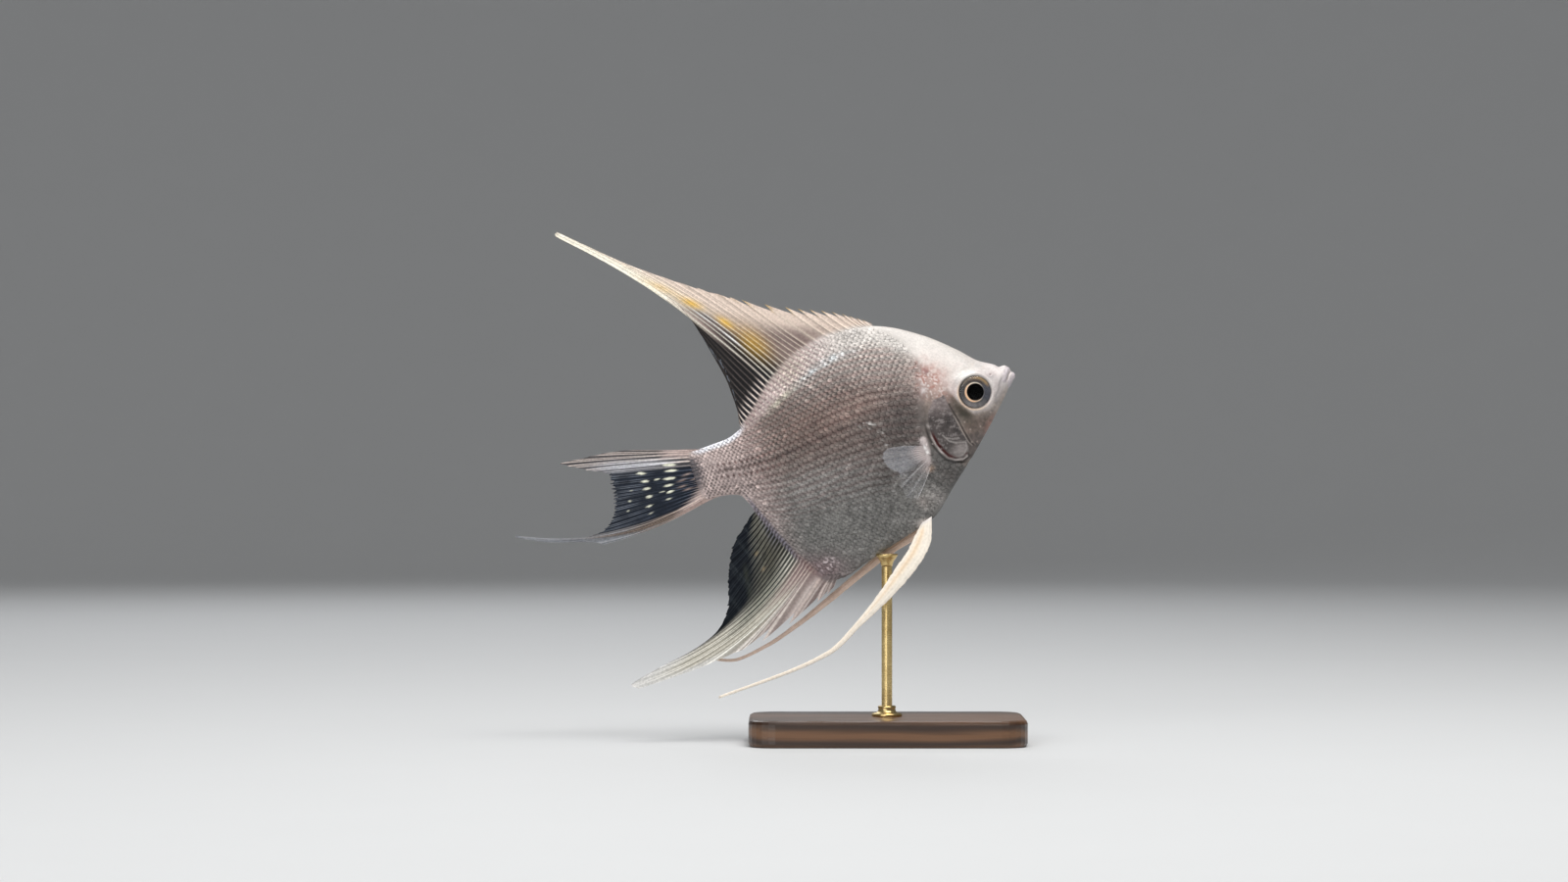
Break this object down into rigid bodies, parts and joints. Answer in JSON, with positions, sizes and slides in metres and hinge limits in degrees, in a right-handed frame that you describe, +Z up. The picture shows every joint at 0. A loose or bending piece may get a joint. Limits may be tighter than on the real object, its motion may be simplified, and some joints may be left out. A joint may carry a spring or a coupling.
{
  "type": "freshwater angelfish model",
  "caption": "Life-size freshwater angelfish in a nose-up swimming pose, with long filament fins, held by a rod on a small wooden display base.",
  "frame": {"origin": "centre of the underside of the stand's base", "axes": "+Z up, +X the way the fish faces, +Y towards its left flank, which is across the flat body"},
  "size_m": [0.1146, 0.036, 0.1147],
  "materials": {
    "head_skin": "moist satin fish skin, cream nape fading to grey cheeks",
    "scaled_skin": "satin, silvery grey-brown overlapping scales with darker lengthwise rows",
    "eye": "polished wet eye with grey iris and black pupil",
    "dorsal_fin": "thin ribbed fin membrane, tan with ochre patches and smoky rear",
    "anal_fin": "thin ribbed fin membrane, ivory rays and dark rear web",
    "tail_fin": "thin ribbed fin membrane, blue-black with cream dots",
    "clear_fin": "translucent fin membrane with fine pale rays",
    "pelvic_fin": "satin cream filament with fine rays",
    "stand_wood": "dark stained hardwood, satin lacquer",
    "stand_brass": "brushed satin"
  },
  "bodies": {
    "root": {"head": "head_skin", "lower_jaw": "head_skin", "gill_cover_right": "head_skin", "gill_cover_left": "head_skin", "eye_right": "eye", "eye_left": "eye", "trunk": "scaled_skin", "tail_stem": "scaled_skin", "dorsal_fin": "dorsal_fin", "anal_fin": "anal_fin", "caudal_fin": "tail_fin", "pectoral_fin_right": "clear_fin", "pectoral_fin_left": "clear_fin", "pelvic_fin_right": "pelvic_fin", "pelvic_fin_left": "pelvic_fin", "stand_base": "stand_wood", "stand_rod": "stand_brass"}
  },
  "joints": []
}
